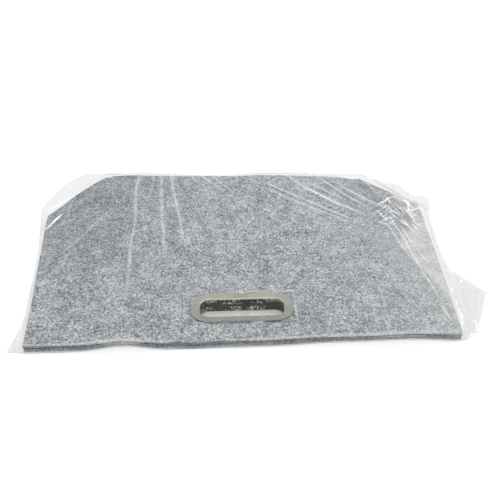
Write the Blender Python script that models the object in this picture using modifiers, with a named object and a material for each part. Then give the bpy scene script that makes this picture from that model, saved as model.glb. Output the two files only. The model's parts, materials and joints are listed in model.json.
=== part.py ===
"""Felt carrier bag with two metal hand grips, folded flat and packed in a clear film pouch.

Units are metres. X runs across the mouth of the bag, +Y from the mouth edge to the base, +Z is up.
The bag lies on its back. The origin is under the middle of the back panel, on the plane the pouch rests on.
"""

import math

import bpy
import bmesh
from mathutils import Matrix, Vector

# Driving dimensions of the opened bag
PANEL_WIDTH = 0.324
PANEL_HEIGHT = 0.330
BAG_DEPTH = 0.136
FELT = 0.004
GAP = 0.0003
TUCK_TIP_GAP = 0.0012
WELD_DISTANCE = 0.00003

# Space between the inner faces of the two sheets when the bag is folded
MOUTH_GAP = 0.001
FAR_GAP = 0.022

# Grip rings: a rounded rectangle around the hand opening
GRIP_LENGTH = 0.090
GRIP_HEIGHT = 0.029
GRIP_CORNER = 0.010
GRIP_FROM_MOUTH = 0.0535
RIM_WIDTH = 0.0103
RIM_THICKNESS = 0.0012
LIP_RADIUS = 0.002
LIP_STEPS = 5
COLLAR_WALL = 0.001
BACKING_WIDTH = 0.006
BACKING_THICKNESS = 0.0008
CORNER_STEPS = 8
SHARP_ANGLE = math.radians(40)

# Film pouch around the folded bag
FILM = 0.0003
FILM_CLEARANCE = 0.0025
POUCH_CLOSED_END = 0.004
POUCH_OPEN_END = 0.030
POUCH_FAR_NOSE = 0.012

# Colours and surface roughness
FELT_GREY = (0.36, 0.40, 0.44)
FELT_ROUGHNESS = 0.95
NICKEL_TONE = (0.62, 0.60, 0.54)
NICKEL_ROUGHNESS = 0.32
FILM_TINT = (0.93, 0.94, 0.95)
FILM_ROUGHNESS = 0.12
FILM_ALPHA = 0.25

# Worked out from the driving dimensions
HALF_WIDTH = PANEL_WIDTH / 2
FOLD = BAG_DEPTH / 2
SHOULDER = PANEL_HEIGHT - FOLD
FLAT_HALF_WIDTH = HALF_WIDTH + FOLD
GRIP_STANDS_PROUD = GAP + RIM_THICKNESS
BAG_LIFT = FILM + GAP + GRIP_STANDS_PROUD
MOUTH_Y = -PANEL_HEIGHT / 2
FRONT_SLOPE = math.asin((FAR_GAP - MOUTH_GAP) / PANEL_HEIGHT)
TUCK_HEIGHT = FOLD / math.sqrt(2)


def rest_tilt(rise):
    """Angle at which a base half of the felt's thickness reaches a rise at its free edge."""
    reach = math.hypot(FOLD, FELT)
    return math.asin(rise / reach) - math.atan2(FELT, FOLD)


BASE_TILT = rest_tilt(FAR_GAP / 2 - GAP)
FRONT_BASE_TILT = BASE_TILT - FRONT_SLOPE
REAR_TUCK_TILT = math.asin(FOLD * math.sin(BASE_TILT) / TUCK_HEIGHT)
FRONT_TUCK_TILT = math.asin(FOLD * math.sin(FRONT_BASE_TILT) / TUCK_HEIGHT)

# Each sheet's own frame has its origin on its inner face, in the middle of the mouth edge
REAR_SHEET = Matrix.Translation((0, MOUTH_Y, BAG_LIFT + FELT))
FRONT_SHEET = REAR_SHEET @ Matrix.Translation((0, 0, MOUTH_GAP)) @ Matrix.Rotation(FRONT_SLOPE, 4, "X")


def clear_scene():
    for item in list(bpy.data.objects):
        bpy.data.objects.remove(item, do_unlink=True)


def new_collection(name):
    collection = bpy.data.collections.new(name)
    bpy.context.scene.collection.children.link(collection)
    return collection


def principled(name, colour, roughness, metallic=0.0, alpha=1.0):
    material = bpy.data.materials.new(name)
    material.use_nodes = True
    shader = material.node_tree.nodes["Principled BSDF"]
    shader.inputs["Base Color"].default_value = (*colour, 1.0)
    shader.inputs["Roughness"].default_value = roughness
    shader.inputs["Metallic"].default_value = metallic
    shader.inputs["Alpha"].default_value = alpha
    return material


def add_outline(curve, points):
    spline = curve.splines.new("POLY")
    spline.points.add(len(points) - 1)
    for point, (x, y) in zip(spline.points, points):
        point.co = (x, y, 0, 1)
    spline.use_cyclic_u = True


def plate(name, outlines, low, high, collection):
    """Flat plate from closed outlines, the second one being a hole, between two local heights."""
    curve = bpy.data.curves.new(name, "CURVE")
    curve.dimensions = "2D"
    curve.fill_mode = "BOTH"
    curve.extrude = (high - low) / 2
    for points in outlines:
        add_outline(curve, points)
    guide = bpy.data.objects.new(name + "_outline", curve)
    collection.objects.link(guide)
    bpy.context.view_layer.update()
    evaluated = guide.evaluated_get(bpy.context.evaluated_depsgraph_get())
    mesh = bpy.data.meshes.new_from_object(evaluated)
    bpy.data.objects.remove(guide)
    mesh.transform(Matrix.Translation((0, 0, (low + high) / 2)))
    weld(mesh)
    mesh.name = name
    piece = bpy.data.objects.new(name, mesh)
    collection.objects.link(piece)
    return piece


def weld(mesh):
    cage = bmesh.new()
    cage.from_mesh(mesh)
    bmesh.ops.remove_doubles(cage, verts=cage.verts, dist=WELD_DISTANCE)
    bmesh.ops.recalc_face_normals(cage, faces=cage.faces)
    cage.to_mesh(mesh)
    cage.free()


def rounded_rectangle(length, height, corner, centre_y):
    """Corner points of a rounded rectangle, each corner an arc of CORNER_STEPS steps."""
    points = []
    for quarter in range(4):
        sign_x = 1 if quarter in (0, 3) else -1
        sign_y = 1 if quarter in (0, 1) else -1
        centre = Vector((sign_x * (length / 2 - corner), sign_y * (height / 2 - corner)))
        for step in range(CORNER_STEPS + 1):
            angle = (quarter + step / CORNER_STEPS) * math.pi / 2
            x = centre.x + corner * math.cos(angle)
            y = centre.y + corner * math.sin(angle) + centre_y
            points.append((x, y))
    return points


def grip_outline(offset):
    """The hand opening's outline, grown by an offset."""
    length = GRIP_LENGTH + 2 * offset
    height = GRIP_HEIGHT + 2 * offset
    return rounded_rectangle(length, height, GRIP_CORNER + offset, GRIP_FROM_MOUTH)


def panel_outline():
    edge = HALF_WIDTH - GAP / 2
    far = PANEL_HEIGHT - GAP
    return [(-edge, 0), (edge, 0), (edge, far), (-edge, far)]


def side_outline(side):
    """Half of a side, from the panel's edge to the side seam, cut off at 45 degrees along the tuck."""
    near = HALF_WIDTH + GAP / 2
    outer = FLAT_HALF_WIDTH - GAP / 2
    shoulder = SHOULDER - GAP / 2
    far = PANEL_HEIGHT - GAP
    return [(side * near, 0), (side * outer, 0), (side * outer, shoulder), (side * near, far)]


def base_outline():
    edge = HALF_WIDTH - GAP / 2
    free = FOLD - GAP
    return [(-edge, -free), (edge, -free), (edge, -GAP), (-edge, -GAP)]


def tuck_outline():
    """Right-angled triangle, its long side on the local X axis and its corner on -Y."""
    half = TUCK_HEIGHT - TUCK_TIP_GAP
    return [(-half, -GAP), (0, -half - GAP), (half, -GAP)]


def place(piece, matrix, colour):
    piece.matrix_world = matrix
    piece.data.materials.append(colour)


def panels(parts, felt):
    hole = grip_outline(COLLAR_WALL + GAP)
    back = plate("back_panel", [panel_outline(), hole], -FELT, 0, parts)
    place(back, REAR_SHEET, felt)
    front = plate("front_panel", [panel_outline(), hole], 0, FELT, parts)
    place(front, FRONT_SHEET, felt)


def sides(parts, felt):
    """Each side is creased along its middle, so it is a rear half and a front half."""
    for label, side in (("left", -1), ("right", 1)):
        rear = plate(label + "_rear_side", [side_outline(side)], -FELT, 0, parts)
        place(rear, REAR_SHEET, felt)
        front = plate(label + "_front_side", [side_outline(side)], 0, FELT, parts)
        place(front, FRONT_SHEET, felt)


def base(parts, felt):
    """The base is creased along its middle and folded in between the panels."""
    far_edge = Matrix.Translation((0, PANEL_HEIGHT, 0))
    rear = plate("rear_base_half", [base_outline()], GAP, GAP + FELT, parts)
    place(rear, REAR_SHEET @ far_edge @ Matrix.Rotation(-BASE_TILT, 4, "X"), felt)
    front = plate("front_base_half", [base_outline()], -GAP - FELT, -GAP, parts)
    place(front, FRONT_SHEET @ far_edge @ Matrix.Rotation(FRONT_BASE_TILT, 4, "X"), felt)


def tucks(parts, felt):
    """Four corner triangles, folded in along the 45 degree creases of the sides."""
    for label, side in (("left", -1), ("right", 1)):
        middle = Vector((side * (HALF_WIDTH + FOLD / 2), PANEL_HEIGHT - FOLD / 2, 0))
        crease = Matrix.Translation(middle) @ Matrix.Rotation(-side * math.pi / 4, 4, "Z")
        rear = plate(label + "_rear_tuck", [tuck_outline()], GAP, GAP + FELT, parts)
        place(rear, REAR_SHEET @ crease @ Matrix.Rotation(-REAR_TUCK_TILT, 4, "X"), felt)
        front = plate(label + "_front_tuck", [tuck_outline()], -GAP - FELT, -GAP, parts)
        place(front, FRONT_SHEET @ crease @ Matrix.Rotation(FRONT_TUCK_TILT, 4, "X"), felt)


def ring_loop(cage, offset, height):
    """Closed loop of points along the hand opening's outline, grown by an offset."""
    return [cage.verts.new((x, y, height)) for x, y in grip_outline(offset)]


def stamped_profile():
    """Section of the face ring's visible side: edge, flat rim, rolled lip and collar."""
    low = FELT + GAP
    high = low + RIM_THICKNESS
    profile = [(RIM_WIDTH, low), (RIM_WIDTH, high)]
    for step in range(LIP_STEPS + 1):
        angle = math.pi / 2 * (1 + step / LIP_STEPS)
        offset = LIP_RADIUS * (1 + math.cos(angle))
        height = high - LIP_RADIUS * (1 - math.sin(angle))
        profile.append((offset, height))
    profile.append((0, -GAP - BACKING_THICKNESS))
    return profile


def face_ring(name, sheet, outward, parts, nickel):
    """Stamped rim on the outer face of the felt, with a collar that runs through to the backing ring."""
    cage = bmesh.new()
    loops = [ring_loop(cage, offset, height) for offset, height in stamped_profile()]
    for outer, inner in zip(loops, loops[1:]):
        for i in range(len(outer)):
            cage.faces.new((outer[i - 1], outer[i], inner[i], inner[i - 1]))
    mesh = bpy.data.meshes.new(name)
    cage.to_mesh(mesh)
    cage.free()
    ring = bpy.data.objects.new(name, mesh)
    parts.objects.link(ring)
    if outward < 0:
        mesh.transform(Matrix.Diagonal((1, 1, -1, 1)))
        mesh.flip_normals()
    wall = ring.modifiers.new("sheet_metal", "SOLIDIFY")
    wall.thickness = COLLAR_WALL
    wall.offset = -1
    wall.use_even_offset = True
    mesh.shade_smooth()
    mesh.set_sharp_from_angle(angle=SHARP_ANGLE)
    place(ring, sheet, nickel)


def backing_ring(name, sheet, outward, parts, nickel):
    """Flat washer on the inner face of the felt, pressed over the collar."""
    outlines = [grip_outline(BACKING_WIDTH), grip_outline(COLLAR_WALL + GAP)]
    low, high = sorted((-outward * GAP, -outward * (GAP + BACKING_THICKNESS)))
    ring = plate(name, outlines, low, high, parts)
    place(ring, sheet, nickel)


def grips(parts, nickel):
    for label, sheet, outward in (("rear", REAR_SHEET, -1), ("front", FRONT_SHEET, 1)):
        face_ring(label + "_grip_face_ring", sheet, outward, parts, nickel)
        backing_ring(label + "_grip_backing_ring", sheet, outward, parts, nickel)


def pouch_profile():
    """Section of the pouch in the Y-Z plane, just outside the folded bag."""
    bottom = FILM
    nose_top = BAG_LIFT + FELT
    near = MOUTH_Y - FILM_CLEARANCE
    near_top = (FRONT_SHEET @ Vector((0, 0, FELT))).z + FILM_CLEARANCE
    far_edge = FRONT_SHEET @ Vector((0, PANEL_HEIGHT, FELT))
    far_top = far_edge.z + FILM_CLEARANCE
    far = far_edge.y + FILM_CLEARANCE
    nose = far + POUCH_FAR_NOSE
    return [(near, bottom), (nose, bottom), (nose, nose_top), (far, far_top), (near, near_top)]


def pouch(parts, film):
    """Film sleeve, closed at the left and open at the right, as a thin shell."""
    left = -FLAT_HALF_WIDTH - POUCH_CLOSED_END
    right = FLAT_HALF_WIDTH + POUCH_OPEN_END
    sleeve = plate("film_pouch", [pouch_profile()], left, right, parts)
    sleeve.data.transform(Matrix(((0, 0, 1, 0), (1, 0, 0, 0), (0, 1, 0, 0), (0, 0, 0, 1))))
    cage = bmesh.new()
    cage.from_mesh(sleeve.data)
    open_end = [face for face in cage.faces if face.calc_center_median().x > right - GAP]
    bmesh.ops.delete(cage, geom=open_end, context="FACES")
    cage.to_mesh(sleeve.data)
    cage.free()
    shell = sleeve.modifiers.new("film_thickness", "SOLIDIFY")
    shell.thickness = FILM
    shell.offset = 1
    shell.use_even_offset = True
    place(sleeve, Matrix.Identity(4), film)


def main():
    clear_scene()
    parts = new_collection("folded_felt_bag")
    felt = principled("felt", FELT_GREY, FELT_ROUGHNESS)
    nickel = principled("satin_nickel", NICKEL_TONE, NICKEL_ROUGHNESS, metallic=1.0)
    film = principled("clear_film", FILM_TINT, FILM_ROUGHNESS, alpha=FILM_ALPHA)
    panels(parts, felt)
    sides(parts, felt)
    base(parts, felt)
    tucks(parts, felt)
    grips(parts, nickel)
    pouch(parts, film)


main()
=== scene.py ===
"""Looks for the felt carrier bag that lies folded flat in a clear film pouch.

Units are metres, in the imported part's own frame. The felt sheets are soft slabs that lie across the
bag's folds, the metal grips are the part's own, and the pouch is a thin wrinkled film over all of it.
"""

import json
import math

import bpy
import bmesh
import numpy as np
from mathutils import Matrix, Vector


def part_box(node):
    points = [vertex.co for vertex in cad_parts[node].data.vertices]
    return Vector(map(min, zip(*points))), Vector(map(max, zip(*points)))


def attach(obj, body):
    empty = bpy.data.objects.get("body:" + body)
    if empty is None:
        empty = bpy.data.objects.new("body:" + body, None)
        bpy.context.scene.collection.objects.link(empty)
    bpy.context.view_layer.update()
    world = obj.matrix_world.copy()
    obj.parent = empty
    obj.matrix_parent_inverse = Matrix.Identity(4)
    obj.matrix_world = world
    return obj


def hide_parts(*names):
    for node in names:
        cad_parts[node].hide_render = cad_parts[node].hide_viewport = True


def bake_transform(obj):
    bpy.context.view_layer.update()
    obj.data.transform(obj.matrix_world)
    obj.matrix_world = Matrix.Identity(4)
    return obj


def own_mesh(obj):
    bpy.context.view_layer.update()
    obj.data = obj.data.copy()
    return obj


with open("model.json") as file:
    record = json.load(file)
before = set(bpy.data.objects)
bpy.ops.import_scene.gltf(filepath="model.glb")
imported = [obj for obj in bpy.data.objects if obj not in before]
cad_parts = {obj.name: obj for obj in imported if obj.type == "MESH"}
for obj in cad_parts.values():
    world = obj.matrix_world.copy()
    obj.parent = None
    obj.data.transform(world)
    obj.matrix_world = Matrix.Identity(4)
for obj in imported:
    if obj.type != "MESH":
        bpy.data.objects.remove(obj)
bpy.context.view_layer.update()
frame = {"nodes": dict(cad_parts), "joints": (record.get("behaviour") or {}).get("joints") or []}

JOINTS = {joint["name"]: joint for joint in frame["joints"]}


def hinge(name):
    """Point and direction of a joint's axis at rest."""
    return Vector(JOINTS[name]["pos_m"]), Vector(JOINTS[name]["axis"]).normalized()


# Sizes of the folded bag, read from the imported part
MOUTH_Y = hinge("front_panel_edge")[0].y
HALF_PANEL = hinge("right_side_edge")[0].x
HALF_WIDTH = hinge("right_side_seam")[0].x
LENGTH = hinge("rear_base_edge")[0].y - MOUTH_Y
SHOULDER = LENGTH - (HALF_WIDTH - HALF_PANEL)
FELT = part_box("back_panel")[1].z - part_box("back_panel")[0].z
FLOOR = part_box("film_pouch")[0].z

# Felt detail, in metres and, for the angle, degrees
FELT_STEP = 0.0025
FLAP_STEP = 0.0014
FOLD_ROUNDING = 0.0030
CUT_ROUNDING = 0.0012
SHARP_ANGLE = 50
OPENING_INSET = 0.0065
OPENING_CORNER = 0.013

# How the felt's outline differs from the plain folded shape
SHOULDER_DROP = 0.005
SHOULDER_ROUNDING = 0.005
SKEW_START = 0.05
LEFT_SKEW = 0.0035
RIGHT_SKEW = 0.0015
LEFT_BULGE = 0.0035
SEAM_GAP = 0.0006
BASE_WIDENED = 1.008
REAR_CORNER_SHARE = 0.3

# How far parts of the front sheet stand off its flat shape
LEFT_RAISED = 0.0095
MIDDLE_RAISED = 0.0035
RIGHT_LOWERED = 0.0030
LEFT_SAG = 0.0035
RIGHT_SAG = 0.0050
PLY_GAP = 0.0012

# Film detail
FILM_STEP = 0.0016
FILM_CLEARANCE = 0.0006
FILM_FLOOR = 0.0002
RIM_HEIGHT = 0.0016
KNOT = Vector((0.190, 0.054))
KNOT_HEADINGS = (-84, -74, -64, -50, 35)

# Stage: metres and degrees, the camera's turns as pitch, yaw and roll
TABLE_GAP = 0.0004
CAMERA_PLACE = Vector((-0.025, -1.088, 0.670))
CAMERA_TURNS = (30.8, 2.0, -0.43)
CAMERA_ANGLE = 26.0


def sheet_matrix(joint_name, towards_far):
    """A sheet's own frame: X across, Y from mouth to far edge, origin on its inner face."""
    point, _ = hinge(joint_name)
    along = Vector(towards_far).normalized()
    across = Vector((1, 0, 0))
    normal = across.cross(along)
    matrix = Matrix((across, along, normal)).transposed().to_4x4()
    matrix.translation = Vector((0, point.y, point.z))
    return matrix


FRONT_ALONG = hinge("front_panel_edge")[1]
REAR_SHEET = sheet_matrix("bag_opening", (0, 1, 0))
FRONT_SHEET = sheet_matrix("front_panel_edge", FRONT_ALONG if FRONT_ALONG.y > 0 else -FRONT_ALONG)


# ---------------------------------------------------------------- fields and small helpers


def smooth_step(value, start, end):
    """0 before the start and 1 past the end, or the other way round when the end is the smaller."""
    t = np.clip((value - start) / (end - start), 0, 1)
    return t * t * (3 - 2 * t)


def bell(value, centre, width):
    return np.exp(-(((value - centre) / width) ** 2))


def random_field(x, y, cell, seed):
    """Smooth random heights between -1 and 1, with lumps about one cell wide."""
    side = 256
    table = np.random.default_rng(seed).uniform(-1, 1, (side, side))
    u, v = x / cell, y / cell
    i, j = np.floor(u).astype(int), np.floor(v).astype(int)
    s, t = smooth_step(u - i, 0, 1), smooth_step(v - j, 0, 1)
    i0, i1, j0, j1 = i % side, (i + 1) % side, j % side, (j + 1) % side
    near = table[i0, j0] * (1 - s) + table[i1, j0] * s
    far = table[i0, j1] * (1 - s) + table[i1, j1] * s
    return near * (1 - t) + far * t


def creases(x, y, cell, seed):
    """Sharp-crested wrinkles between 0 and 1, as in crumpled film."""
    bend = random_field(x, y, cell * 1.7, seed + 50) * cell * 0.6
    first = 1 - np.abs(random_field(x + bend, y - bend, cell, seed))
    second = 1 - np.abs(random_field(y + bend, x, cell * 0.6, seed + 1))
    return 0.65 * first ** 3 + 0.35 * second ** 3


def transformed(matrix, points):
    rotation = np.array(matrix.to_3x3())
    return points @ rotation.T + np.array(matrix.translation)


def new_object(name, mesh, material):
    piece = bpy.data.objects.new(name, mesh)
    bpy.context.scene.collection.objects.link(piece)
    mesh.materials.clear()
    mesh.materials.append(material)
    return piece


def apply_modifiers(piece):
    """Replaces the piece's mesh with its evaluated one."""
    bpy.context.view_layer.update()
    evaluated = piece.evaluated_get(bpy.context.evaluated_depsgraph_get())
    mesh = bpy.data.meshes.new_from_object(evaluated)
    piece.modifiers.clear()
    piece.data = mesh


def vertex_array(mesh):
    points = np.zeros(len(mesh.vertices) * 3)
    mesh.vertices.foreach_get("co", points)
    return points.reshape(-1, 3)


def set_vertices(mesh, points):
    mesh.vertices.foreach_set("co", points.ravel())
    mesh.update()


def store(mesh, name, values):
    """Keeps one number or one vector for each vertex, for the material to read."""
    values = np.asarray(values, np.float32)
    kind, field = ("FLOAT", "value") if values.ndim == 1 else ("FLOAT_VECTOR", "vector")
    attribute = mesh.attributes.new(name, kind, "POINT")
    attribute.data.foreach_set(field, values.ravel())


# ---------------------------------------------------------------- material building


class Nodes:
    """The node tree of a material or of the world, with short calls for the nodes used here."""

    def __init__(self, owner, output="OutputMaterial"):
        owner.use_nodes = True
        self.owner = owner
        self.tree = owner.node_tree
        self.tree.nodes.clear()
        self.output = self.tree.nodes.new("ShaderNode" + output)

    def add(self, kind, inputs=None, **settings):
        node = self.tree.nodes.new("ShaderNode" + kind)
        for key, value in settings.items():
            setattr(node, key, value)
        for key, value in (inputs or {}).items():
            self.connect(node.inputs[key], value)
        return node

    def connect(self, entry, value):
        if isinstance(value, bpy.types.NodeSocket):
            self.tree.links.new(value, entry)
        else:
            entry.default_value = value

    def math(self, operation, first, second=0.0, clamp=False):
        node = self.add("Math", {0: first, 1: second}, operation=operation, use_clamp=clamp)
        return node.outputs[0]

    def attribute(self, name):
        return self.add("Attribute", attribute_name=name)

    def noise(self, place, scale, detail, roughness=0.5, distortion=0.0):
        inputs = {"Vector": place, "Scale": scale, "Detail": detail}
        inputs.update({"Roughness": roughness, "Distortion": distortion})
        return self.add("TexNoise", inputs).outputs["Fac"]

    def ramp(self, factor, stops):
        node = self.add("ValToRGB", {"Fac": factor})
        ramp = node.color_ramp
        while len(ramp.elements) < len(stops):
            ramp.elements.new(0.5)
        for element, (position, colour) in zip(ramp.elements, stops):
            element.position = position
            element.color = (*colour, 1.0)
        return node.outputs["Color"]

    def mix(self, factor, first, second, blend="MIX"):
        node = self.add("Mix", {0: factor}, data_type="RGBA", blend_type=blend)
        for key, value in ((6, first), (7, second)):
            self.connect(node.inputs[key], (*value, 1.0) if isinstance(value, tuple) else value)
        return node.outputs[2]

    def weighted_sum(self, *parts):
        """Adds up pairs of a value and its weight."""
        total = self.math("MULTIPLY", *parts[0])
        for value, weight in parts[1:]:
            total = self.math("ADD", total, self.math("MULTIPLY", value, weight))
        return total

    def bump(self, height, strength, distance):
        inputs = {"Height": height, "Strength": strength, "Distance": distance}
        return self.add("Bump", inputs).outputs["Normal"]

    def finish(self, shader):
        self.tree.links.new(shader, self.output.inputs["Surface"])
        return self.owner


def material_nodes(name):
    return Nodes(bpy.data.materials.new(name))


def grey(value):
    return value, value, value


def felt_material():
    """Needle felt of mixed pale, grey and dark blue-grey fibres; its fuzzy mouth edge has a painted
    highlight.
    """
    nodes = material_nodes("grey_felt")
    place = nodes.attribute("felt_place").outputs["Vector"]
    stretch = nodes.add("VectorMath", {0: place, 1: (1.0, 0.8, 1.0)}, operation="MULTIPLY").outputs[0]
    grain = nodes.noise(stretch, scale=560.0, detail=3.0, roughness=0.66, distortion=0.6)
    fibres = nodes.noise(place, scale=1150.0, detail=2.0, roughness=0.6, distortion=2.2)
    clumps = nodes.noise(place, scale=210.0, detail=3.0, roughness=0.6, distortion=0.5)
    blotches = nodes.noise(place, scale=60.0, detail=3.0, roughness=0.6)
    drift = nodes.noise(place, scale=14.0, detail=3.0)
    mixed = nodes.weighted_sum((grain, 0.48), (fibres, 0.25), (clumps, 0.15), (blotches, 0.12))
    stops = [
        (0.419, (0.040, 0.050, 0.066)),
        (0.457, (0.150, 0.172, 0.195)),
        (0.492, (0.292, 0.317, 0.338)),
        (0.529, (0.460, 0.484, 0.500)),
        (0.574, (0.760, 0.774, 0.780)),
    ]
    colour = nodes.ramp(mixed, stops)
    tint = nodes.mix(drift, (0.84, 0.86, 0.92), (1.14, 1.13, 1.10))
    colour = nodes.mix(1.0, colour, tint, "MULTIPLY")
    # Painted shade: darker towards the far outer corners, and a painted shadow along the outside of the
    # grip's rim.
    painted_shade = nodes.math("MULTIPLY", nodes.attribute("painted_shade").outputs["Fac"], 0.60)
    colour = nodes.mix(painted_shade, colour, (0.60, 0.62, 0.69), "MULTIPLY")
    # Lighter mouth edge: fibre fuzz, with a painted highlight along the edge.
    fuzz_and_edge_highlight = nodes.attribute("fuzz_and_edge_highlight").outputs["Fac"]
    fuzz_and_edge_highlight = nodes.math("MULTIPLY", fuzz_and_edge_highlight, nodes.math("MULTIPLY", grain, 1.1))
    colour = nodes.mix(fuzz_and_edge_highlight, colour, (0.70, 0.72, 0.73))
    # Painted shade: the cut face is darkened.
    cut = nodes.attribute("painted_cut_face_shade").outputs["Fac"]
    colour = nodes.mix(nodes.math("MULTIPLY", cut, 0.45), colour, (0.06, 0.07, 0.08))
    height = nodes.math("ADD", grain, nodes.math("MULTIPLY", fibres, 0.6))
    normal = nodes.bump(height, 0.55, 0.0005)
    inputs = {"Base Color": colour, "Roughness": 0.95, "Normal": normal}
    inputs.update({"Sheen Weight": 0.25, "Sheen Roughness": 0.6, "Specular IOR Level": 0.15})
    return nodes.finish(nodes.add("BsdfPrincipled", inputs).outputs[0])


def nickel_material():
    """Satin nickel: the flat rim with painted light and shade, the collar in the opening with painted
    reflections of crumpled film.
    """
    nodes = material_nodes("satin_nickel")
    geometry = nodes.add("NewGeometry")
    place = nodes.add("TexCoord").outputs["Object"]
    upright = nodes.add("SeparateXYZ", {0: geometry.outputs["True Normal"]}).outputs["Z"]
    flat = nodes.math("ABSOLUTE", upright)
    collar = nodes.add("MapRange", {0: flat, 1: 0.75, 2: 0.35}).outputs[0]
    brushed = nodes.noise(place, scale=900.0, detail=3.0, roughness=0.6)
    cloudy = nodes.noise(place, scale=60.0, detail=2.0)
    rim = nodes.ramp(cloudy, [(0.3, (0.345, 0.342, 0.295)), (0.7, (0.425, 0.421, 0.366))])
    # Painted light and shade: the rim darkens sharply at its near edge and grows lighter towards its far
    # edge.
    whole = nodes.add("TexCoord").outputs["Generated"]
    near_to_far = nodes.add("SeparateXYZ", {0: whole}).outputs["Y"]
    painted_rim_shading = [(0.0, grey(0.45)), (0.06, grey(0.86)), (0.5, grey(1.02)), (1.0, grey(1.22))]
    rim = nodes.mix(1.0, rim, nodes.ramp(near_to_far, painted_rim_shading), "MULTIPLY")
    # Painted reflection: white crinkled lines stand for crumpled film mirrored in the collar.
    crinkled = nodes.noise(place, scale=165.0, detail=2.0, roughness=0.5, distortion=1.8)
    ridge = nodes.math("ABSOLUTE", nodes.math("SUBTRACT", crinkled, 0.5))
    painted_film_reflection = nodes.ramp(ridge, [(0.0, (1, 1, 0.96)), (0.022, (0.85, 0.85, 0.81)), (0.040, grey(0))])
    # Painted dark reflection and shade on the collar's inner wall, in patches.
    patches = nodes.noise(place, scale=75.0, detail=2.0, roughness=0.6, distortion=0.8)
    stops = [
        (0.40, (0.003, 0.003, 0.004)),
        (0.54, (0.008, 0.009, 0.010)),
        (0.62, (0.200, 0.202, 0.196)),
    ]
    painted_dark_reflection = nodes.ramp(patches, stops)
    shown = nodes.add("MapRange", {0: patches, 1: 0.42, 2: 0.52}).outputs[0]
    inside = nodes.mix(shown, painted_dark_reflection, painted_film_reflection, "ADD")
    colour = nodes.mix(collar, rim, inside)
    rough = nodes.math("ADD", 0.24, nodes.math("MULTIPLY", brushed, 0.14))
    rough = nodes.math("ADD", rough, nodes.math("MULTIPLY", collar, 0.08))
    normal = nodes.bump(brushed, 0.06, 0.0001)
    inputs = {"Base Color": colour, "Metallic": 1.0, "Roughness": rough, "Normal": normal}
    return nodes.finish(nodes.add("BsdfPrincipled", inputs).outputs[0])


def film_material():
    """Thin clear film: mostly see-through, glossy, milky when seen edge on, with painted highlights on
    creases.
    """
    nodes = material_nodes("clear_film")
    place = nodes.attribute("film_place").outputs["Vector"]
    # Milkiness of the film, and painted highlights along its creases and folds.
    haze_and_highlight = nodes.attribute("haze_and_highlight").outputs["Fac"]
    fine = nodes.noise(place, scale=70.0, detail=4.0, roughness=0.6, distortion=1.2)
    ripple = nodes.noise(place, scale=320.0, detail=2.0, roughness=0.5, distortion=0.8)
    height = nodes.math("ADD", fine, nodes.math("MULTIPLY", ripple, 0.25))
    normal = nodes.bump(height, 0.22, 0.002)
    facing = nodes.add("LayerWeight", {"Blend": 0.5, "Normal": normal}).outputs["Facing"]
    edge_on = nodes.math("POWER", facing, 4.0)
    gloss_share = nodes.math("ADD", 0.030, nodes.math("MULTIPLY", edge_on, 0.45), clamp=True)
    milk_and_highlight_share = nodes.math("ADD", haze_and_highlight, nodes.math("MULTIPLY", edge_on, 0.22))
    milk_and_highlight_share = nodes.math("ADD", milk_and_highlight_share, 0.006, clamp=True)
    clear = nodes.add("BsdfTransparent", {"Color": (0.878, 0.880, 0.874, 1.0)}).outputs[0]
    crushed = nodes.noise(place, scale=240.0, detail=3.0, roughness=0.6, distortion=1.8)
    stops = [(0.36, (0.60, 0.60, 0.59)), (0.50, (0.88, 0.88, 0.87)), (0.62, (1.0, 1.0, 0.99))]
    tone = nodes.ramp(crushed, stops)
    milky = nodes.add("BsdfDiffuse", {"Color": tone, "Normal": normal}).outputs[0]
    shine = {"Color": (1, 1, 1, 1), "Roughness": 0.10, "Normal": normal}
    gloss = nodes.add("BsdfGlossy", shine).outputs[0]
    shader = nodes.add("MixShader", {0: milk_and_highlight_share, 1: clear, 2: milky}).outputs[0]
    shader = nodes.add("MixShader", {0: gloss_share, 1: shader, 2: gloss}).outputs[0]
    return nodes.finish(shader)


def table_material():
    """White table. The camera sees it close to pure white, with only a trace of the shadows on it."""
    nodes = material_nodes("white_table")
    grain = nodes.noise(nodes.add("TexCoord").outputs["Object"], scale=40.0, detail=2.0)
    colour = nodes.ramp(grain, [(0.0, grey(0.90)), (1.0, grey(0.93))])
    lit = nodes.add("BsdfDiffuse", {"Color": colour}).outputs[0]
    glow = nodes.add("Emission", {"Color": (1, 1, 1, 1), "Strength": 0.80}).outputs[0]
    faint = nodes.add("MixShader", {0: 0.31, 2: lit}).outputs[0]
    seen = nodes.add("AddShader", {0: glow, 1: faint}).outputs[0]
    camera_ray = nodes.add("LightPath").outputs["Is Camera Ray"]
    return nodes.finish(nodes.add("MixShader", {0: camera_ray, 1: lit, 2: seen}).outputs[0])


# ---------------------------------------------------------------- felt sheets


def half_width(y):
    """Half of the flat sheet's width: full to the shoulder, then cut off slanting, softly rounded."""
    corner = SHOULDER_ROUNDING
    slope = (HALF_WIDTH - HALF_PANEL) / (LENGTH - SHOULDER + SHOULDER_DROP)
    slanted = HALF_PANEL + (LENGTH - y) * slope
    full_share = np.clip(0.5 + (slanted - HALF_WIDTH) / (2 * corner), 0, 1)
    return slanted + (HALF_WIDTH - slanted) * full_share - corner * full_share * (1 - full_share)


def left_line(y):
    """The far half lies a little to the left, and the left corner bulges past the straight cut."""
    bulge = np.sin(np.pi * np.clip((y - SHOULDER) / (LENGTH - SHOULDER), 0, 1))
    return -half_width(y) - LEFT_SKEW * smooth_step(y, SKEW_START, SHOULDER) - LEFT_BULGE * bulge


def right_line(y):
    return half_width(y) - RIGHT_SKEW * smooth_step(y, SKEW_START, SHOULDER)


def seam_share(y):
    """Share of the skew up to the shoulder, where the two halves of a side still meet edge to edge."""
    return smooth_step(y, SKEW_START, SHOULDER) * smooth_step(y, SHOULDER + 0.020, SHOULDER)


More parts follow.
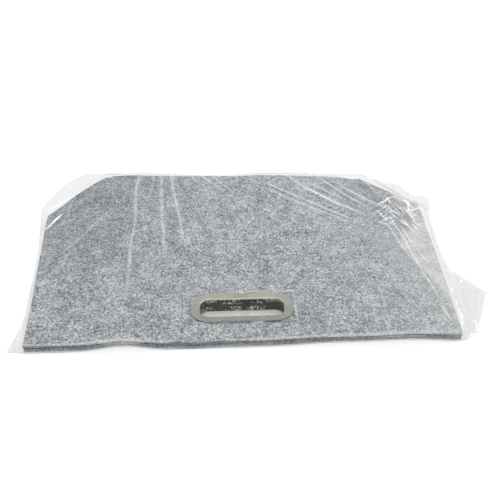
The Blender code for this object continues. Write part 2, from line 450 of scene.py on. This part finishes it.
def rear_left_line(y):
    """As much shorter as the front half is longer, so the two meet when the bag is open."""
    return -half_width(y) + SEAM_GAP + LEFT_SKEW * seam_share(y)


def rear_right_line(y):
    """As much longer as the front half is shorter."""
    return half_width(y) - SEAM_GAP + RIGHT_SKEW * seam_share(y)


def mouth_wave(x):
    """Lift of the mouth edge, which doesn't lie quite flat."""
    left = 0.0055 * bell(x, -0.127, 0.028) - 0.0015 * bell(x, -0.052, 0.026)
    right = 0.0030 * bell(x, 0.100, 0.050) + 0.0038 * bell(x, 0.175, 0.042)
    return left + right


def outside_grip(x, y):
    """Distance outside the grip's rim, negative over it."""
    low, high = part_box("front_grip_face_ring")
    centre_y = (low.y + high.y) / 2 - MOUTH_Y
    outside_x = np.abs(x) - high.x
    outside_y = np.abs(y - centre_y) - (high.y - low.y) / 2
    return np.maximum(outside_x, outside_y)


def beside_grip(x, y):
    """0 on the grip's rim, rising to 1 a little way off it, so that waves leave the metal flat."""
    return smooth_step(outside_grip(x, y), 0.0005, 0.026)


def rear_lift(x, y):
    """How far the rear sheet stands off its flat shape."""
    wave = mouth_wave(x) * np.exp(-((y / 0.085) ** 2))
    return wave * beside_grip(x, y)


def front_lift(x, y):
    """How far the front sheet stands off its flat shape: waves, sag, a ply gap, a twisted far end."""
    far = smooth_step(y / LENGTH, 0.25, 1.0)
    taper = smooth_step(np.abs(x), HALF_WIDTH, HALF_WIDTH - 0.07)
    tilt = np.clip(-x / HALF_PANEL, -1, 1)
    raised = np.where(tilt > 0, LEFT_RAISED, RIGHT_LOWERED) * tilt
    twist = far * taper * (raised + MIDDLE_RAISED * bell(x, 0.03, 0.07))
    ply_gap = PLY_GAP * bell(x, 0.190, 0.026) * bell(y, 0.0, 0.05)
    broad = 0.0007 * random_field(x, y, cell=0.075, seed=11)
    broad += 0.0004 * random_field(x, y, cell=0.028, seed=12)
    inner = smooth_step(half_width(y) - np.abs(x), 0.0, 0.03) * smooth_step(y, 0.0, 0.03)
    sag = np.where(x > 0, RIGHT_SAG, LEFT_SAG) * shoulder_share(x, y)
    soft = broad * inner * beside_grip(x, y)
    return rear_lift(x, y) + twist - sag + ply_gap + soft


def shoulder_share(x, y):
    """1 at the two outer shoulders, where the front sheet comes down to meet the rear one."""
    outer = smooth_step(np.abs(x), HALF_PANEL + 0.01, HALF_WIDTH)
    return outer * smooth_step(y, 0.10, SHOULDER) * smooth_step(y, LENGTH, SHOULDER + 0.02)


def corner_drop(x, y):
    """Rounds the far corners of the sheet."""
    drop = np.where(x > 0, 0.010, 0.006)
    reach = np.where(x > 0, 0.050, 0.045)
    corner = smooth_step(np.abs(x), HALF_PANEL - reach, HALF_PANEL + 0.006)
    return drop * corner ** 2 * smooth_step(y, LENGTH - 0.045, LENGTH)


def sheet_grid(low_side, high_side, far_limit, rounding_share):
    """Flat points in rows from mouth to far edge, between two side lines given as functions of y."""
    rows = int(round(far_limit / FELT_STEP)) + 1
    y = np.linspace(0, far_limit, rows)
    widest = np.max(high_side(y) - low_side(y))
    columns = int(round(widest / FELT_STEP)) + 1
    share = np.linspace(0, 1, columns)
    low, high = low_side(y)[:, None], high_side(y)[:, None]
    x = low + (high - low) * share[None, :]
    y = np.repeat(y[:, None], columns, axis=1)
    return x, y - rounding_share * corner_drop(x, y)


def border_loop(rows, columns):
    """Grid indices round the border, each with the side it starts: mouth, high, far or low."""
    loop = [(0, c, "mouth") for c in range(columns - 1)]
    loop += [(r, columns - 1, "high") for r in range(rows - 1)]
    loop += [(rows - 1, c, "far") for c in range(columns - 1, 0, -1)]
    loop += [(r, 0, "low") for r in range(rows - 1, 0, -1)]
    return loop


def grid_faces(rows, columns, first, flipped):
    index = first + np.arange(rows * columns).reshape(rows, columns)
    corners = [index[:-1, :-1], index[:-1, 1:], index[1:, 1:], index[1:, :-1]]
    faces = np.stack([corner.ravel() for corner in corners], axis=1)
    return faces[:, ::-1] if flipped else faces


def slab_mesh(name, sheet, x, y, lift, outward, rounding):
    """Closed felt slab on a grid. rounding gives the edge radius of each side's outer edge."""
    rows, columns = x.shape
    inner = np.stack([x, y, lift], axis=-1).reshape(-1, 3)
    outer = np.stack([x, y, lift + outward * FELT], axis=-1).reshape(-1, 3)
    points = transformed(sheet, np.concatenate([inner, outer]))
    count = rows * columns
    faces = [grid_faces(rows, columns, 0, outward > 0), grid_faces(rows, columns, count, outward < 0)]
    loop = border_loop(rows, columns)
    rim = []
    for (r0, c0, _), (r1, c1, _) in zip(loop, loop[1:] + loop[:1]):
        a, b = r0 * columns + c0, r1 * columns + c1
        rim.append((a, b, b + count, a + count) if outward > 0 else (b, a, a + count, b + count))
    mesh = bpy.data.meshes.new(name)
    mesh.from_pydata(points.tolist(), [], np.concatenate(faces + [np.array(rim)]).tolist())
    weights = {}
    for (r0, c0, side), (r1, c1, _) in zip(loop, loop[1:] + loop[:1]):
        a, b = r0 * columns + c0, r1 * columns + c1
        weights[frozenset((a + count, b + count))] = rounding[side] / FELT
        weights[frozenset((a, b))] = CUT_ROUNDING * bool(rounding[side]) / FELT
    edge_weight = mesh.attributes.new("bevel_weight_edge", "FLOAT", "EDGE")
    values = [weights.get(frozenset(edge.vertices), 0.0) for edge in mesh.edges]
    edge_weight.data.foreach_set("value", values)
    return mesh


def cut_grip_hole(piece, sheet, ring_node):
    """Opening in the felt, hidden under the grip's rim."""
    low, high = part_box(ring_node)
    centre_y = (low.y + high.y) / 2 - MOUTH_Y
    half_x, half_y = high.x - OPENING_INSET, (high.y - low.y) / 2 - OPENING_INSET
    corner = OPENING_CORNER
    steps = 6
    cage = bmesh.new()
    ring = []
    for quarter in range(4):
        sign_x = 1 if quarter in (0, 3) else -1
        sign_y = 1 if quarter in (0, 1) else -1
        for step in range(steps + 1):
            angle = (quarter + step / steps) * math.pi / 2
            x = sign_x * (half_x - corner) + corner * math.cos(angle)
            y = sign_y * (half_y - corner) + corner * math.sin(angle) + centre_y
            ring.append(cage.verts.new((x, y, -3 * FELT)))
    bottom = cage.faces.new(ring)
    raised = bmesh.ops.extrude_face_region(cage, geom=[bottom])["geom"]
    tops = [item for item in raised if isinstance(item, bmesh.types.BMVert)]
    bmesh.ops.translate(cage, verts=tops, vec=(0, 0, 6 * FELT))
    bmesh.ops.recalc_face_normals(cage, faces=cage.faces)
    mesh = bpy.data.meshes.new("opening_cutter")
    cage.to_mesh(mesh)
    cage.free()
    cutter = bpy.data.objects.new("opening_cutter", mesh)
    bpy.context.scene.collection.objects.link(cutter)
    cutter.matrix_world = sheet
    cut = piece.modifiers.new("opening", "BOOLEAN")
    cut.operation = "DIFFERENCE"
    cut.object = cutter
    apply_modifiers(piece)
    bpy.data.objects.remove(cutter)


def painted_corner_shade(x, y):
    """Painted shade: the felt is darker towards its far outer corners."""
    outer = smooth_step(np.abs(x - 0.02), 0.05, 0.20)
    return outer * smooth_step(y, 0.05, 0.24)


def finish_felt(piece, sheet):
    """Adds small lumps and what the material reads: place, fuzzy edge with a painted highlight, painted
    shade on the cut face, and painted shade at the far corners and along the grip's rim.
    """
    mesh = piece.data
    points = vertex_array(mesh)
    local = transformed(sheet.inverted(), points)
    lumps = 0.00018 * random_field(local[:, 0], local[:, 1], cell=0.006, seed=21)
    local[:, 2] += lumps * np.sign(local[:, 2])
    set_vertices(mesh, transformed(sheet, local))
    store(mesh, "felt_place", local)
    outer_edge = smooth_step(np.abs(local[:, 2]), FELT * 0.72, FELT * 0.98)
    # Fuzz along the mouth's outer edge, with a painted highlight.
    store(mesh, "fuzz_and_edge_highlight", smooth_step(local[:, 1], 0.0022, 0.0010) * outer_edge)
    # Painted shade on the mouth's cut face.
    store(mesh, "painted_cut_face_shade", smooth_step(local[:, 1], 0.0008, 0.0002) * (1 - outer_edge))
    # Painted shadow along the outside of the grip's rim, stored with the painted corner shade.
    rim_shadow = bell(outside_grip(local[:, 0], local[:, 1]), 0.0005, 0.0010)
    store(mesh, "painted_shade", painted_corner_shade(local[:, 0], local[:, 1]) + 2.2 * rim_shadow)
    mesh.shade_smooth()
    mesh.set_sharp_from_angle(angle=math.radians(SHARP_ANGLE))


def felt_slab(
    name, sheet, sides, lift_field, outward, rounding, material, far_limit=LENGTH, opening=None
):
    """One soft felt piece on a sheet, between two side lines."""
    rounding_share = 1.0 if outward > 0 else REAR_CORNER_SHARE
    x, y = sheet_grid(*sides, far_limit, rounding_share)
    mesh = slab_mesh(name, sheet, x, y, lift_field(x, y), outward, rounding)
    piece = new_object(name, mesh, material)
    soften = piece.modifiers.new("edge_rounding", "BEVEL")
    soften.limit_method = "WEIGHT"
    soften.width = FELT
    soften.segments = 4
    apply_modifiers(piece)
    if opening:
        cut_grip_hole(piece, sheet, opening)
    finish_felt(piece, sheet)
    return piece


def fold_roll(name, sheet, centre_line, material, reaches_axis=False):
    """Rounded felt along a fold. It may reach down to the fold's axis where the sheet stands off it."""
    around = 16
    radius = FELT * 0.975
    points = []
    for x, y, z in centre_line:
        lowest = min(z, 0.0) if reaches_axis else z
        for step in range(around):
            angle = 2 * math.pi * step / around
            centre = z if step <= around / 2 else lowest
            points.append((x, y + radius * math.cos(angle), centre + radius * math.sin(angle)))
    faces = []
    rings = len(centre_line)
    for ring in range(rings - 1):
        for step in range(around):
            a, b = ring * around + step, ring * around + (step + 1) % around
            faces.append((a, b, b + around, a + around))
    faces.append(tuple(range(around))[::-1])
    faces.append(tuple(range((rings - 1) * around, rings * around)))
    mesh = bpy.data.meshes.new(name)
    mesh.from_pydata(transformed(sheet, np.array(points)).tolist(), [], faces)
    cage = bmesh.new()
    cage.from_mesh(mesh)
    bmesh.ops.recalc_face_normals(cage, faces=cage.faces)
    cage.to_mesh(mesh)
    cage.free()
    piece = new_object(name, mesh, material)
    finish_felt(piece, sheet)
    return piece


def straight(value):
    return lambda y: np.full_like(y, value)


def build_front_sheet(felt):
    """One slab for the front panel and its left side, and one for the right side."""
    folds = {"mouth": CUT_ROUNDING, "far": FOLD_ROUNDING, "low": FOLD_ROUNDING, "high": 0.0}
    sides = (left_line, straight(HALF_PANEL))
    opening = "front_grip_face_ring"
    front = felt_slab("front_felt", FRONT_SHEET, sides, front_lift, 1, folds, felt, opening=opening)
    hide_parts("front_panel", "left_front_side")
    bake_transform(front)

    folds = {"mouth": CUT_ROUNDING, "far": FOLD_ROUNDING, "low": 0.0, "high": FOLD_ROUNDING}
    sides = (straight(HALF_PANEL), right_line)
    far_limit = LENGTH - 0.002
    side = felt_slab("right_front_felt", FRONT_SHEET, sides, front_lift, 1, folds, felt, far_limit)
    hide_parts("right_front_side")
    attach(side, "right_front_side")


def build_rear_sheet(felt):
    """A left and a right slab that meet on the back panel's centre line."""
    opening = "rear_grip_face_ring"
    halves = [
        ("left", -1, (rear_left_line, straight(0.0)), "low", "high"),
        ("right", 1, (straight(0.0), rear_right_line), "high", "low"),
    ]
    for label, sign, sides, outer, inner in halves:
        folds = {"mouth": CUT_ROUNDING, "far": FOLD_ROUNDING, outer: FOLD_ROUNDING, inner: 0.0}
        name = label + "_rear_felt"
        rear = felt_slab(name, REAR_SHEET, sides, rear_lift, -1, folds, felt, opening=opening)
        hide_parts(label + "_rear_side")
        if sign < 0:
            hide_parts("back_panel")
        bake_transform(rear)


def build_fold_rolls(felt):
    """Outer rounds of the folds between the panels and the base."""
    x = np.linspace(-HALF_PANEL + 0.004, HALF_PANEL - 0.007, 60)
    y = np.full_like(x, LENGTH)
    drop = corner_drop(x, y)
    front_y, rear_y = y - drop, y - REAR_CORNER_SHARE * drop
    front_line = list(zip(x, front_y, front_lift(x, front_y)))
    front = fold_roll("front_base_fold", FRONT_SHEET, front_line, felt, reaches_axis=True)
    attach(front, "front_panel")
    rear_line = list(zip(x, rear_y, rear_lift(x, rear_y)))
    rear = fold_roll("rear_base_fold", REAR_SHEET, rear_line, felt)
    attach(rear, "back")


def build_right_fold(felt):
    """Round that fills the corner between the front panel and its right side as the bag opens."""
    y = np.linspace(0.001, LENGTH - 0.006, 90)
    x = np.full_like(y, HALF_PANEL)
    turned = FRONT_SHEET @ Matrix.Rotation(-math.pi / 2, 4, "Z")
    centre_line = list(zip(-y, x, front_lift(x, y)))
    roll = fold_roll("right_panel_fold", turned, centre_line, felt)
    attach(roll, "front_panel")


def felt_from_node(name, node, body, material, widen=1.0):
    """A hidden felt flap: the part's own plate, remeshed fine, softened and, if asked, a little wider."""
    source = frame["nodes"][node]
    piece = new_object(name, source.data.copy(), material)
    fine = piece.modifiers.new("fine", "REMESH")
    fine.mode = "VOXEL"
    fine.voxel_size = FLAP_STEP
    relax = piece.modifiers.new("relax", "SMOOTH")
    relax.factor = 0.5
    relax.iterations = 4
    apply_modifiers(piece)
    mesh = piece.data
    points = vertex_array(mesh) * (widen, 1, 1)
    set_vertices(mesh, points)
    store(mesh, "felt_place", points)
    # The hidden flaps carry no fuzz, painted highlight or painted shade.
    for mark in ("fuzz_and_edge_highlight", "painted_cut_face_shade", "painted_shade"):
        store(mesh, mark, np.zeros(len(points)))
    mesh.shade_smooth()
    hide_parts(node)
    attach(piece, body)


def build_flaps(felt):
    for end in ("rear", "front"):
        felt_from_node(end + "_base_felt", end + "_base_half", end + "_base", felt, BASE_WIDENED)
        for side in ("left", "right"):
            tuck = f"{side}_{end}_tuck"
            felt_from_node(tuck + "_felt", tuck, tuck, felt)


# ---------------------------------------------------------------- metal grips


def finish_grips(nickel):
    for end in ("front", "rear"):
        for ring in ("grip_face_ring", "grip_backing_ring"):
            node = frame["nodes"][f"{end}_{ring}"]
            node.data.materials.clear()
            node.data.materials.append(nickel)


# ---------------------------------------------------------------- film pouch

# Border of the pouch, in metres: for each y, where the film ends at the left and at the right
POUCH_LEFT = [
    (-0.1662, -0.2470),
    (-0.1500, -0.2440),
    (-0.1100, -0.2370),
    (0.0400, -0.2390),
    (0.1030, -0.2425),
    (0.1200, -0.2350),
    (0.1500, -0.2180),
    (0.1700, -0.2040),
    (0.1800, -0.1900),
]
POUCH_RIGHT = [
    (-0.1662, 0.2350),
    (-0.1550, 0.2490),
    (-0.0760, 0.2762),
    (-0.0240, 0.2450),
    (0.0030, 0.2412),
    (0.0430, 0.2416),
    (0.0950, 0.2436),
    (0.1430, 0.2500),
    (0.1490, 0.2330),
    (0.1600, 0.2240),
    (0.1800, 0.2180),
]


def along(points, y):
    """Where a border given as pairs of y and x lies at y."""
    return np.interp(y, [p[0] for p in points], [p[1] for p in points])


def bag_top(x, y):
    """Height of the folded bag's upper surface."""
    origin, slope = FRONT_SHEET.translation, FRONT_SHEET.to_3x3() @ Vector((0, 1, 0))
    local_y = (y - origin.y) / slope.y
    return origin.z + local_y * slope.z + FELT + front_lift(x, np.clip(local_y, 0, LENGTH))


def outside_bag(x, y):
    """Distance outside the bag's outline, negative inside, and the direction away from it."""
    far = MOUTH_Y + LENGTH
    slant = (np.abs(x) - half_width(y - MOUTH_Y)) / math.sqrt(2)
    options = np.stack([np.abs(x) - HALF_WIDTH, y - far, MOUTH_Y - y, slant])
    which = np.argmax(options, axis=0)
    distance = np.take_along_axis(options, which[None], axis=0)[0]
    side = np.sign(x)
    away_x = np.choose(which, [side, 0 * side, 0 * side, side / math.sqrt(2)])
    away_y = np.choose(which, [0 * side, 1 + 0 * side, -1 + 0 * side, 1 / math.sqrt(2) + 0 * side])
    return distance, away_x, away_y


def border_height(x, y):
    """Height of the pouch's border: low at the mouth and at the right, carried high at the far end."""
    far = smooth_step(y, -0.02, 0.165)
    leftward = smooth_step(x, 0.225, 0.150)
    carried = 0.016 + 0.010 * smooth_step(x, 0.02, -0.13)
    return FLOOR + 0.0030 + far * (0.006 + carried * leftward) + under_lift(x, y)


def under_lift(x, y):
    """Where the mouth edge stands off the table, the film under it goes with it."""
    return rear_lift(np.clip(x, -HALF_WIDTH, HALF_WIDTH), np.clip(y - MOUTH_Y, 0, LENGTH)).clip(0)


def tension_folds():
    """Straight pulled wrinkles, each as start, end, height, half width and milkiness, the last partly a
    painted highlight.
    """
    far = MOUTH_Y + LENGTH
    folds = [
        ((-0.1235, far), (-0.1275, -0.125), 0.0014, 0.0044, 0.44),
        ((-0.103, far), (-0.106, 0.110), 0.0009, 0.0034, 0.26),
        ((-0.0965, far), (-0.0855, -0.030), 0.0018, 0.0050, 0.44),
        ((-0.0840, far), (-0.0585, -0.015), 0.0016, 0.0034, 0.50),
        ((-0.045, far), (-0.006, 0.106), 0.0014, 0.0020, 0.62),
        ((-0.033, far), (0.000, 0.116), 0.0010, 0.0016, 0.50),
        ((-0.029, 0.137), (0.012, 0.030), 0.0007, 0.0034, 0.22),
        ((-0.012, 0.122), (0.040, 0.045), 0.0006, 0.0030, 0.18),
        ((0.014, far), (0.066, 0.060), 0.0008, 0.0022, 0.25),
        ((-0.204, 0.000), (-0.150, 0.090), 0.0006, 0.0030, 0.24),
        ((-0.222, -0.060), (-0.186, 0.015), 0.0005, 0.0026, 0.20),
        # Painted glint: a short fold painted bright white at the far-left corner.
        ((-0.231, 0.054), (-0.214, 0.088), 0.0018, 0.0034, 1.60),
        ((0.188, 0.060), (0.222, -0.150), 0.0012, 0.0020, 0.40),
        ((0.196, 0.040), (0.218, -0.040), 0.0014, 0.0016, 0.40),
        ((0.184, 0.030), (0.200, -0.030), 0.0010, 0.0016, 0.50),
        ((0.206, -0.062), (0.214, -0.095), 0.0012, 0.0016, 0.60),
        ((0.214, -0.118), (0.222, -0.150), 0.0012, 0.0016, 0.60),
    ]
    return folds + knot_bundle(far) + knot_glints()


def knot_bundle(far):
    """Wrinkles, with painted highlights, that run together from the far edge to the knot at the bag's
    right shoulder.
    """
    bundle = []
    count = 14
    for step in range(count):
        share = step / (count - 1)
        start = Vector((0.020 + 0.140 * share, far - 0.018 + 0.016 * math.sin(5 * step)))
        end = KNOT + Vector((-0.034 + 0.034 * share, -0.024 + 0.062 * share))
        rise = 0.0010 + 0.0006 * (step % 2)
        width = 0.0013 + 0.0005 * (step % 3)
        milk_and_highlight = 0.34 + 0.18 * (step % 3)
        bundle.append((tuple(start), tuple(end), rise, width, milk_and_highlight))
    return bundle


def knot_glints():
    """Short sharp creases where the pulled film bunches up at the bag's right shoulder, each with a
    painted glint.
    """
    chance = np.random.default_rng(7)
    glints = []
    for _ in range(38):
        middle = Vector((chance.uniform(0.174, 0.220), chance.uniform(0.036, 0.112)))
        heading = math.radians(chance.choice(KNOT_HEADINGS) + chance.uniform(-12, 12))
        reach = chance.uniform(0.006, 0.016)
        run = Vector((math.cos(heading), math.sin(heading))) * reach
        width = chance.uniform(0.0009, 0.0016)
        milk_and_highlight = chance.uniform(0.5, 1.5)
        glints.append((tuple(middle - run), tuple(middle + run), 0.0018, width, milk_and_highlight))
    return glints


def fold_field(x, y):
    """Height of all the pulled wrinkles, and their milkiness with painted highlights."""
    height, haze_and_highlight = np.zeros_like(x), np.zeros_like(x)
    for number, ((x0, y0), (x1, y1), rise, width, milk_and_highlight) in enumerate(tension_folds()):
        run = np.array((x1 - x0, y1 - y0))
        length = np.linalg.norm(run)
        run = run / length
        bend = 0.0022 * random_field(x, y, cell=0.06, seed=60 + number)
        forward = (x - x0) * run[0] + (y - y0) * run[1]
        across = (x - x0) * -run[1] + (y - y0) * run[0] + bend
        taper = smooth_step(forward, -0.006, 0.010)
        taper *= smooth_step(forward, length + 0.006, length * 0.62)
        height += rise * taper * np.exp(-np.abs(across / width) ** 1.5)
        uneven = 0.75 + 0.45 * random_field(x, y, cell=0.012, seed=160 + number)
        # Milky line along the wrinkle's crest, mostly a painted highlight.
        haze_and_highlight += milk_and_highlight * taper * uneven * bell(across, 0.0, width * 0.45)
    return height, haze_and_highlight


def over_rim(x, y):
    """The film rides over the grip's rim, which stands a little above the felt."""
    return RIM_HEIGHT * (1 - smooth_step(outside_grip(x, y - MOUTH_Y), 0.0, 0.004))


def crumple(x, y):
    """0 where the film lies smooth and 1 where it is crumpled: the open end and the right shoulder."""
    end = 0.45 * smooth_step(x, 0.215, 0.250)
    shoulder = bell(x, 0.208, 0.032) * bell(y, 0.070, 0.055)
    return np.clip(end + shoulder, 0, 1) * smooth_step(along(POUCH_RIGHT, y) - x, 0.0, 0.008)


def layered_haze(x, y, distance):
    """Extra milkiness: bunched layers over the right margin, a thin veil, the turn at the far edge."""
    far = MOUTH_Y + LENGTH
    on_felt = smooth_step(distance, 0.004, -0.002)
    margin_start = 0.186
    side_line = margin_start + 0.037 * smooth_step(y, 0.015, -0.130)
    beside = smooth_step(x, side_line, side_line + 0.010)
    beside *= smooth_step(y - 0.8 * (x - margin_start), 0.030, 0.004)
    from_knot = np.hypot(x - 0.180, y - 0.056)
    shoulder = smooth_step(from_knot, 0.026, 0.040)
    shoulder *= smooth_step(x, margin_start, 0.204) * smooth_step(y, 0.010, 0.040)
    uneven = 0.85 + 0.30 * random_field(x, y, cell=0.014, seed=39)
    margin = 0.30 * np.maximum(beside, shoulder) * on_felt
    approach = smooth_step(x, side_line - 0.065, side_line + 0.004) * smooth_step(y, 0.080, 0.030)
    veil = 0.04 * smooth_step(x, 0.02, 0.14) + 0.13 * approach * on_felt
    turn = smooth_step(y, far - 0.030, far - 0.004) * smooth_step(x, -0.050, 0.060)
    return uneven * margin + veil + 0.07 * turn


def draped_height(x, y, distance, away_x, away_y, border):
    """The upper film without its wrinkles: on the bag, then falling from its edge to the border."""
    outside = np.maximum(distance, 0)
    edge = bag_top(x - outside * away_x, y - outside * away_y) + FILM_CLEARANCE
    edge += 0.0022 * smooth_step(y, 0.10, 0.16) * smooth_step(x, -0.04, 0.05)
    fall = np.where(y < MOUTH_Y + 0.0005, 0.0022, np.where(x > 0, 0.022, 0.012))
    return border + (edge - border) * (1 - smooth_step(distance, 0.0, fall))


def lower_height(x, y, distance, border, loose):
    """The lower film: on the table under the bag, and rising to the border outside it."""
    wall = smooth_step(np.maximum(distance, 0), 0.0, 0.010)
    below = FLOOR + FILM_FLOOR + (border - FLOOR) * 0.85 * wall + under_lift(x, y) * (1 - wall)
    return below + 0.0030 * loose * wall * creases(x, y, cell=0.030, seed=35)


def painted_crease_highlights(x, y, loose):
    """Painted highlights as milky white lines on the crumpled film and along the crease round the grip's
    rim.
    """
    rim_highlight = bell(outside_grip(x, y - MOUTH_Y), 0.0022, 0.0011)
    rim_highlight *= smooth_step(random_field(x, y, cell=0.016, seed=38), -0.3, 0.9)
    coarse = creases(x, y, cell=0.022, seed=36) ** 7 * smooth_step(x, 0.222, 0.240)
    fine = creases(x, y, cell=0.009, seed=37) ** 7
    return 0.7 * rim_highlight + 0.55 * loose * (coarse + fine)


def film_heights(x, y):
    """Upper and lower surface of the pouch, and the upper one's milkiness with painted highlights."""
    distance, away_x, away_y = outside_bag(x, y)
    border = border_height(x, y)
    loose = crumple(x, y)
    folds, haze_and_highlight = fold_field(x, y)
    folds += over_rim(x, y)
    inside = smooth_step(distance, 0.0, -0.006)
    calm = 0.0006 * creases(x, y, cell=0.034, seed=31) + 0.0002 * creases(x, y, cell=0.013, seed=32)
    rough = 0.0060 * creases(x, y, cell=0.040, seed=33) + 0.0014 * creases(x, y, cell=0.014, seed=34)
    top = draped_height(x, y, distance, away_x, away_y, border)
    top += folds * (0.4 + 0.6 * inside) + calm * (1 - loose) + rough * loose
    below = lower_height(x, y, distance, border, loose)
    # Painted highlights on the creases and round the rim, then the milky layers.
    haze_and_highlight += painted_crease_highlights(x, y, loose) + layered_haze(x, y, distance)
    return np.maximum(top, below), below, haze_and_highlight


def film_grid():
    """Rows of points from the mouth end to the far end, each from the left border to the right one."""
    rows = int(round((POUCH_LEFT[-1][0] - POUCH_LEFT[0][0]) / FILM_STEP)) + 1
    y = np.linspace(POUCH_LEFT[0][0], POUCH_LEFT[-1][0], rows)
    low, high = along(POUCH_LEFT, y), along(POUCH_RIGHT, y)
    columns = int(round(np.max(high - low) / FILM_STEP)) + 1
    x = low[:, None] + (high - low)[:, None] * np.linspace(0, 1, columns)[None, :]
    return x, np.repeat(y[:, None], columns, axis=1)


def build_pouch(film):
    """Two films joined at the mouth, far and left borders and open at the right."""
    x, y = film_grid()
    rows, columns = x.shape
    top, below, haze_and_highlight = film_heights(x, y)
    haze_below = 0.03 + 0.55 * (1 - beside_grip(x, y - MOUTH_Y))
    closed = np.zeros_like(x, bool)
    closed[0, :] = True
    closed[-1, :] = True
    closed[:, 0] = True
    middle = (top + below) / 2
    top, below = np.where(closed, middle, top), np.where(closed, middle, below)
    points = [np.stack([x, y, z], axis=-1).reshape(-1, 3) for z in (top, below)]
    faces = [grid_faces(rows, columns, 0, False), grid_faces(rows, columns, rows * columns, True)]
    mesh = bpy.data.meshes.new("film")
    mesh.from_pydata(np.concatenate(points).tolist(), [], np.concatenate(faces).tolist())
    store(mesh, "film_place", np.concatenate(points))
    store(mesh, "haze_and_highlight", np.concatenate([haze_and_highlight.ravel(), haze_below.ravel()]))
    cage = bmesh.new()
    cage.from_mesh(mesh)
    bmesh.ops.remove_doubles(cage, verts=cage.verts, dist=1e-6)
    cage.to_mesh(mesh)
    cage.free()
    mesh.shade_smooth()
    piece = new_object("film", mesh, film)
    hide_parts("film_pouch")
    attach(piece, "pouch")
    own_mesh(piece)


# ---------------------------------------------------------------- stage


def area_light(name, place, target, size, power):
    data = bpy.data.lights.new(name, "AREA")
    data.shape = "RECTANGLE"
    data.size, data.size_y = size
    data.energy = power
    light = bpy.data.objects.new(name, data)
    bpy.context.scene.collection.objects.link(light)
    light.location = place
    light.rotation_euler = (Vector(target) - Vector(place)).to_track_quat("-Z", "Y").to_euler()


def build_stage():
    """The table and four soft lights: above and behind, at both sides, and in front."""
    table_mesh = bpy.data.meshes.new("table")
    reach = 4.0
    corners = [(-reach, -reach, 0), (reach, -reach, 0), (reach, reach, 0), (-reach, reach, 0)]
    table_mesh.from_pydata(corners, [], [(0, 1, 2, 3)])
    table = new_object("table", table_mesh, table_material())
    table.location.z = FLOOR - TABLE_GAP
    area_light("softbox_above", (0.1, 0.5, 1.6), (0, 0, 0), (1.6, 0.9), 8.0)
    area_light("strip_left", (-1.1, 0.5, 0.9), (0, 0, 0), (0.12, 1.2), 3.0)
    area_light("strip_right", (1.0, 0.9, 1.0), (0, 0.05, 0), (0.12, 1.2), 3.5)
    area_light("front_fill", (0.2, -1.6, 1.3), (0, 0, 0), (1.4, 0.8), 4.5)
    build_world()


def build_world():
    """White surroundings, a little darker towards the horizon; the camera itself sees plain white."""
    world = bpy.data.worlds.new("studio")
    bpy.context.scene.world = world
    nodes = Nodes(world, "OutputWorld")
    upward = nodes.add("SeparateXYZ", {0: nodes.add("TexCoord").outputs["Generated"]}).outputs["Z"]
    sky = nodes.ramp(upward, [(0.0, grey(0.50)), (0.6, grey(0.92))])
    lit = nodes.add("Background", {"Color": sky}).outputs[0]
    seen = nodes.add("Background", {"Color": (1, 1, 1, 1)}).outputs[0]
    camera_ray = nodes.add("LightPath").outputs["Is Camera Ray"]
    nodes.finish(nodes.add("MixShader", {0: camera_ray, 1: lit, 2: seen}).outputs[0])


def build_camera():
    """Standing in front of the mouth, turned a little to the right and looking down at the bag."""
    pitch, yaw, roll = (math.radians(angle) for angle in CAMERA_TURNS)
    ahead = Vector((math.sin(yaw) * math.cos(pitch), math.cos(yaw) * math.cos(pitch), -math.sin(pitch)))
    level = ahead.cross(Vector((0, 0, 1))).normalized()
    upward = level.cross(ahead)
    right = level * math.cos(roll) + upward * math.sin(roll)
    upward = right.cross(ahead)
    matrix = Matrix((right, upward, -ahead)).transposed().to_4x4()
    matrix.translation = CAMERA_PLACE
    data = bpy.data.cameras.new("camera")
    data.angle = math.radians(CAMERA_ANGLE)
    camera = bpy.data.objects.new("camera", data)
    bpy.context.scene.collection.objects.link(camera)
    camera.matrix_world = matrix
    bpy.context.scene.camera = camera
    bpy.context.scene.view_settings.view_transform = "Standard"


felt = felt_material()
build_front_sheet(felt)
build_rear_sheet(felt)
build_fold_rolls(felt)
build_right_fold(felt)
build_flaps(felt)
finish_grips(nickel_material())
build_pouch(film_material())
build_stage()
build_camera()
